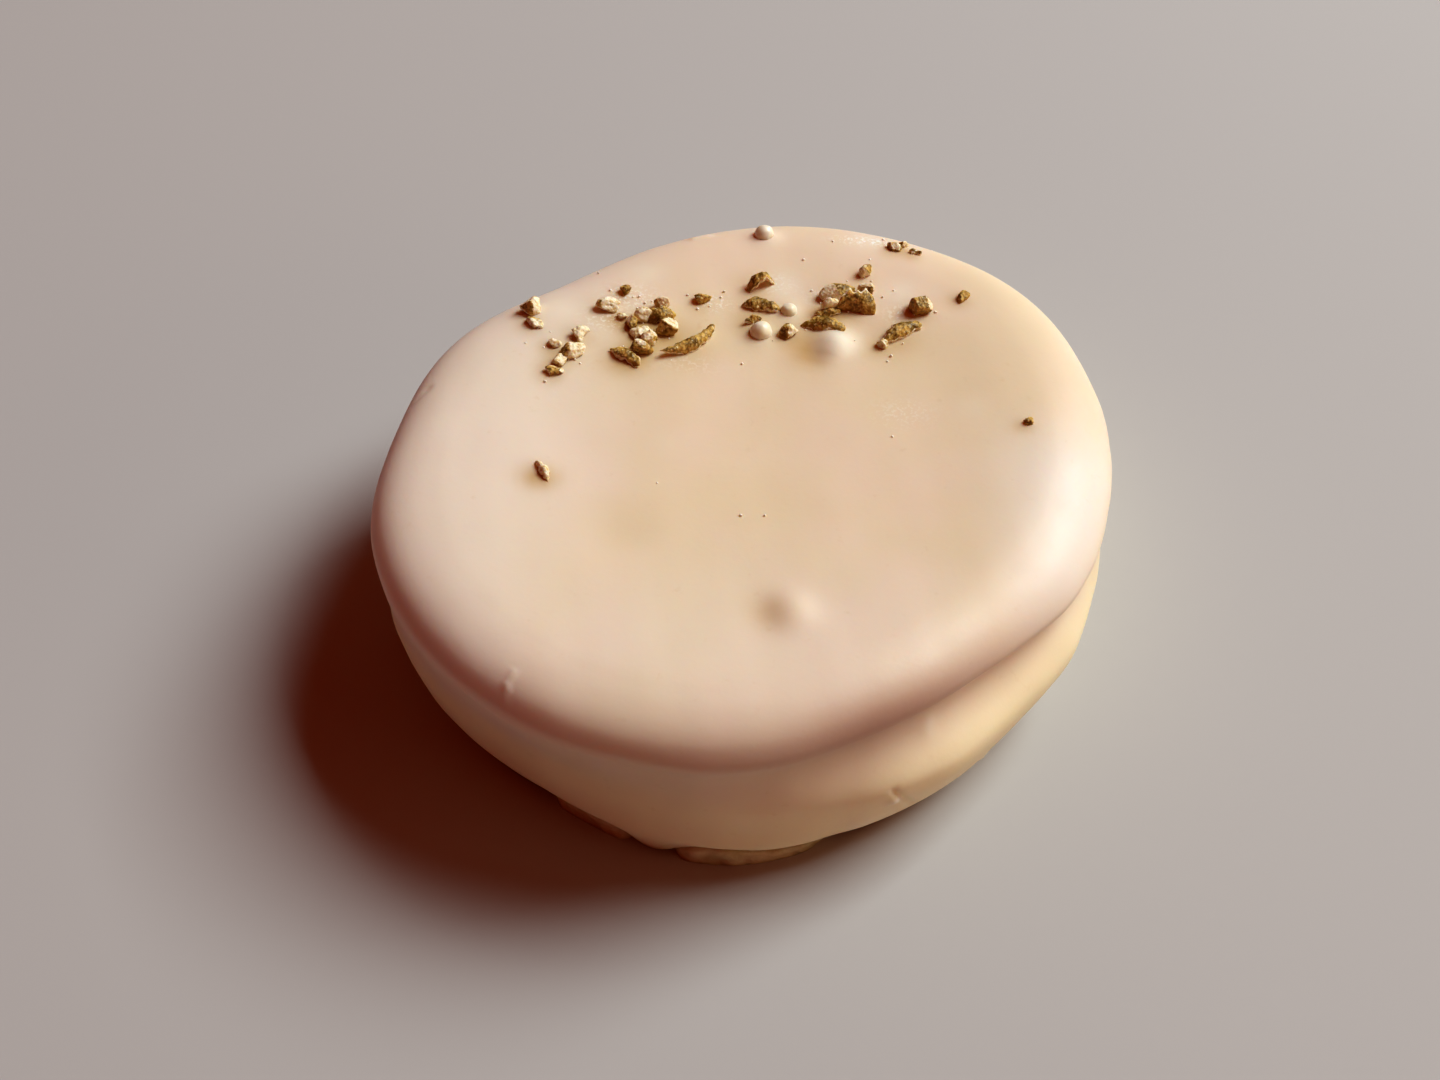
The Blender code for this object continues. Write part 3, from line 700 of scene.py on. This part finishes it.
def flakeParts(draw):
    # superellipse sections along a bent line; the width narrows to the ends and wavers,
    # and the slab cups and twists
    rows, columns = 44, 40
    along = np.linspace(-0.985, 0.985, rows)[:, None]
    turn = -np.linspace(0, 2 * math.pi, columns, endpoint=False)[None, :]
    parts = []
    for x, y, heading, length, width, thickness, bend, arch, pointed, lean, rindUp in zest["flakes"]:
        # one end narrows more than the other
        side = draw.choice((-1, 1))
        rounded = (1 - np.abs(along) ** 9) ** 0.5
        taper = (1 - pointed * np.abs(along) ** 2.2 * (1 + 0.35 * side * along)) * rounded
        taper = np.maximum(taper, 0.06)
        phase = draw.uniform(0, 6.28, 4)
        waver = 1 + 0.14 * np.sin(6 * along + phase[0]) + 0.09 * np.sin(15 * along + phase[1])
        across = np.sign(np.cos(turn)) * np.abs(np.cos(turn)) ** 0.6
        up = np.sign(np.sin(turn)) * np.abs(np.sin(turn)) ** 0.6
        sideways = 0.5 * width * taper * waver * across
        cup = draw.uniform(0.3, 0.7) * thickness * (2 * sideways / width) ** 2
        upward = 0.42 * thickness * (0.5 + 0.5 * taper) * up * rounded - cup
        twist = draw.uniform(-0.6, 0.6) * along
        turnedY = sideways * np.cos(twist) - upward * np.sin(twist)
        turnedZ = sideways * np.sin(twist) + upward * np.cos(twist)
        spotX = 0.5 * length * along + 0 * turn
        spotY = turnedY + bend * (1 - along ** 2)
        spotZ = turnedZ + arch * (1 - along ** 2) + 0.10 * thickness * np.sin(5 * along + phase[2])
        spots = np.stack([spotX, spotY, spotZ], -1)
        rough = waveNoise(spots, 0.6, int(draw.integers(1000)), octaves=3)
        outward = np.stack([0 * spotX, across + 0 * spotX, up + 0 * spotX], -1)
        spots = spots + outward * (0.05 * rough * np.minimum(1, 2 * taper))[..., None]
        ends = np.array([[-0.5 * length, 0, 0.1 * thickness], [0.5 * length, 0, 0.1 * thickness]])
        ends[:, 1] = spots[[0, -1], :, 1].mean(1)
        ends[:, 2] = spots[[0, -1], :, 2].mean(1)
        # rind on one face, pith on the other, and a pale cut edge between them
        rindSide = 0.5 + 0.9 * up * (2 * rindUp - 1) + 0.25 * rough + 0.4 * (rindUp - 0.5)
        rindSide = smoothStep(rindSide - 0.9 * smoothStep((np.abs(across) - 0.78) / 0.18))
        spots = np.concatenate([spots.reshape(-1, 3), ends])
        spots = laid(spots, x, y, heading, lean, 0.28)
        rindSide = np.append(rindSide.reshape(-1), (rindUp, rindUp))
        parts.append((spots, rows, columns, {"rind": rindSide, "under": paintedUnderShade(spots)}))
    return parts


def chunkParts(draw):
    # the inside of a dozen drawn planes, softened: one over the radius is a high power mean of their nearness
    rows, columns = 26, 36
    polar = np.linspace(0.05, math.pi - 0.05, rows)[:, None]
    turn = np.linspace(0, 2 * math.pi, columns, endpoint=False)[None, :]
    way = np.stack([np.sin(polar) * np.cos(turn), np.sin(polar) * np.sin(turn), np.cos(polar) + 0 * turn], -1)
    poles = np.array([[0, 0, 1.0], [0, 0, -1.0]])
    way = np.concatenate([way.reshape(-1, 3), poles])
    parts = []
    for x, y, heading, length, width, tall, rindShare in zest["chunks"]:
        normals = draw.normal(size=(12, 3))
        normals /= np.linalg.norm(normals, axis=1)[:, None]
        depths = draw.uniform(0.62, 1.0, 12)
        nearness = np.maximum(way @ normals.T, 0.02) / depths
        reach = 1.0 / (nearness ** 26).mean(1) ** (1 / 26)
        reach = np.clip(reach, 0.3, 1.3)
        rough = waveNoise(way * np.array([length, width, tall]) / 2, 0.5, int(draw.integers(1000)), octaves=3)
        spots = way * reach[:, None] * np.array([length, width, tall]) / 2 * 0.92
        spots = spots + way * (0.045 * rough)[:, None]
        # each flat is either rind or cut pith, so their borders are crisp
        isRind = np.zeros(12)
        isRind[draw.permutation(12)[:round(12 * rindShare)]] = 1
        rindSide = smoothStep(isRind[nearness.argmax(1)] + 0.2 * rough)
        spots = laid(spots, x, y, heading, 0, 0.25)
        parts.append((spots, rows, columns, {"rind": rindSide, "under": paintedUnderShade(spots)}))
    return parts


def makeZest():
    draw = np.random.default_rng(zest["seed"])
    material = zestMaterial()
    for name, parts in (("zestFlakes", flakeParts(draw)), ("zestCrumbs", chunkParts(draw))):
        piece = joined(name, parts)
        piece.data.materials.append(material)
        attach(piece, "root")
        print(name, len(parts), "pieces")


def sugarMaterial(name, colour, roughness, glow):
    # glow is the share of light that passes under the skin
    material, nodes, links, shader = newMaterial(name)
    coords = nodes.new("ShaderNodeTexCoord").outputs["Object"]
    tone = rangeNode(nodes, links, noiseNode(nodes, links, coords, 700, 3), 0.35, 0.65)
    colour = mixNode(nodes, links, tone, glazeFinish["milk"], colour)
    links.new(colour, shader.inputs["Base Color"])
    links.new(rangeNode(nodes, links, tone, 0, 1, roughness, roughness + 0.12), shader.inputs["Roughness"])
    shader.inputs["Subsurface Weight"].default_value = glow
    shader.inputs["Subsurface Radius"].default_value = (1.0, 0.8, 0.6)
    shader.inputs["Subsurface Scale"].default_value = 0.0012
    return material


def makeSugar():
    draw = np.random.default_rng(sugar["seed"])
    rows, columns = 24, 36
    polar = np.linspace(0.05, math.pi - 0.05, rows)[:, None]
    turn = np.linspace(0, 2 * math.pi, columns, endpoint=False)[None, :]
    way = np.stack([np.sin(polar) * np.cos(turn), np.sin(polar) * np.sin(turn), np.cos(polar) + 0 * turn], -1)
    way = np.concatenate([way.reshape(-1, 3), [[0, 0, 1.0], [0, 0, -1.0]]])
    parts = []
    for x, y, radius, standing in sugar["beads"]:
        # a sphere with a soft uneven skin
        spots = way * radius * (1 + 0.04 * waveNoise(way, 1.4, int(draw.integers(1000)), octaves=2))[:, None]
        parts.append((laid(spots, x, y, 0, 0, 1 - standing), rows, columns, {"tone": 0 * way[:, 0]}))
    beads = joined("sugarBeads", parts)
    beads.data.materials.append(sugarMaterial("sugarBead", sugar["colour"], 0.32, 0.4))
    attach(beads, "root")
    # grains: small crystals of twenty faces among the zest; tone is a share that each one's mesh carries
    rows, columns = 3, 5
    polar = np.radians([45, 90, 135])[:, None]
    turn = np.radians(np.arange(columns) * 72)[None, :]
    way = np.stack([np.sin(polar) * np.cos(turn), np.sin(polar) * np.sin(turn), np.cos(polar) + 0 * turn], -1)
    way = np.concatenate([way.reshape(-1, 3), [[0, 0, 1.0], [0, 0, -1.0]]])
    parts = []
    low, high = sugar["grainSize"]
    for number in range(sugar["grains"] + len(sugar["specks"])):
        size = draw.uniform(low, high)
        if number >= sugar["grains"]:
            x, y, size = sugar["specks"][number - sugar["grains"]]
        else:
            home = zest["chunks"][int(draw.integers(len(zest["chunks"]) - 1))]
            x, y = home[0] + draw.normal(0, 1.6), home[1] + draw.normal(0, 1.3)
        stretch = draw.uniform(0.7, 1.2, 3) * (1, 1, 0.8)
        spots = way * stretch * size / 2
        spots = laid(spots, x, y, draw.uniform(0, 360), draw.uniform(-12, 12), 0.3)
        parts.append((spots, rows, columns, {"tone": np.full(len(way), draw.uniform(0, 1))}))
    grains = joined("sugarGrains", parts, sharpAngle=25)
    grains.data.materials.append(sugarMaterial("sugarGrain", sugar["grainColour"], 0.35, 0.0))
    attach(grains, "root")
    print("sugar:", len(sugar["beads"]), "beads and", len(parts), "grains")


# floor, light and camera
stage = {
    "floorSize": 1.6,
    "floorColour": (0.51, 0.50, 0.495, 1),
    "keyPower": 24.0,
    "keySize": 0.85,
    "keyDistance": 1.6,
    "keyAzimuth": 33,
    "keyElevation": 46,
    "keyColour": (0.87, 0.98, 0.97),
    "fillPower": 0.40,
    "fillSize": 0.3,
    "fillDistance": 0.6,
    "fillAzimuth": -18,
    "fillElevation": 10,
    "fillColour": (1.0, 0.80, 0.55),
    "aimHeight": 0.011,  # metres above the ground, the middle of the object
    "worldColour": (0.90, 0.085, 0.0, 1),
    "worldStrength": 0.14,
    "backdropColour": (2.9, 2.7, 2.6, 1),  # what shows beyond the floor in low views
    "look": "High Contrast",
}

view = {
    "focalPixels": 1500.0,
    "frameWidth": 1440,
    "frameHeight": 1080,
    "elevation": 48.0,
    "roll": 4.2,
    "distance": 136.8,
    "middleAcross": 752.4,
    "middleDown": 512.2,
}


def makeFloor():
    half = stage["floorSize"] / 2
    mesh = bpy.data.meshes.new("paleFloor")
    corners = [(-half, -half, 0), (half, -half, 0), (half, half, 0), (-half, half, 0)]
    mesh.from_pydata(corners, [], [(0, 1, 2, 3)])
    floor = bpy.data.objects.new("paleFloor", mesh)
    bpy.context.scene.collection.objects.link(floor)
    material, _, _, shader = newMaterial("paleFloor")
    shader.inputs["Base Color"].default_value = stage["floorColour"]
    shader.inputs["Roughness"].default_value = 0.9
    floor.data.materials.append(material)


def aimedLight(name, power, size, colour, azimuth, elevation, distance):
    # an area light on a sphere round the object, turned to its middle
    lamp = bpy.data.lights.new(name, "AREA")
    lamp.energy = power
    lamp.size = size
    lamp.color = colour
    holder = bpy.data.objects.new(name, lamp)
    turn, rise = math.radians(azimuth), math.radians(elevation)
    way = Vector((math.cos(turn) * math.cos(rise), math.sin(turn) * math.cos(rise), math.sin(rise)))
    holder.location = way * distance + Vector((0, 0, stage["aimHeight"]))
    holder.rotation_euler = way.to_track_quat("Z", "Y").to_euler()
    bpy.context.scene.collection.objects.link(holder)


def makeLights():
    aimedLight("keyLight", stage["keyPower"], stage["keySize"], stage["keyColour"],
               stage["keyAzimuth"], stage["keyElevation"], stage["keyDistance"])
    aimedLight("fillLight", stage["fillPower"], stage["fillSize"], stage["fillColour"],
               stage["fillAzimuth"], stage["fillElevation"], stage["fillDistance"])
    world = bpy.data.worlds.new("softRoom")
    world.use_nodes = True
    nodes, links = world.node_tree.nodes, world.node_tree.links
    seen = nodes.new("ShaderNodeLightPath").outputs["Is Camera Ray"]
    links.new(mixNode(nodes, links, seen, stage["worldColour"], stage["backdropColour"]),
              nodes["Background"].inputs["Color"])
    nodes["Background"].inputs["Strength"].default_value = stage["worldStrength"]
    bpy.context.scene.world = world
    bpy.context.scene.view_settings.view_transform = "Standard"
    bpy.context.scene.view_settings.look = stage["look"]


def makeCamera():
    # looks down along +Y, rolled, then turned so that the object's middle falls on its place in the frame
    rise, roll = math.radians(view["elevation"]), math.radians(view["roll"])
    middle = np.array([*body["boxShift"], body["height"] / 2])
    back = np.array([0, -math.cos(rise), math.sin(rise)])
    place = middle + back * view["distance"]
    forward = -back
    right = np.array([1.0, 0, 0])
    up = np.cross(right, forward)
    rolledRight = math.cos(roll) * right + math.sin(roll) * up
    rolledUp = -math.sin(roll) * right + math.cos(roll) * up
    across = (view["middleAcross"] - view["frameWidth"] / 2) / view["focalPixels"]
    down = (view["frameHeight"] / 2 - view["middleDown"]) / view["focalPixels"]
    offset = Vector((across, down, 1)).normalized()
    turn = np.array(Vector((0, 0, 1)).rotation_difference(offset).to_matrix())
    rows = turn @ np.stack([rolledRight, rolledUp, forward])
    lens = bpy.data.cameras.new("photoView")
    lens.sensor_width = 36
    lens.lens = 36 * view["focalPixels"] / view["frameWidth"]
    lens.clip_start = 0.01
    camera = bpy.data.objects.new("photoView", lens)
    pose = Matrix.Identity(4)
    for column, axis in enumerate((rows[0], rows[1], -rows[2])):
        for row in range(3):
            pose[row][column] = axis[row]
    for row in range(3):
        pose[row][3] = place[row] * mm
    camera.matrix_world = pose
    bpy.context.scene.collection.objects.link(camera)
    bpy.context.scene.camera = camera
    print("camera set")


makeGlaze()
makeBiscuit()
makeZest()
makeSugar()
makeFloor()
makeLights()
makeCamera()
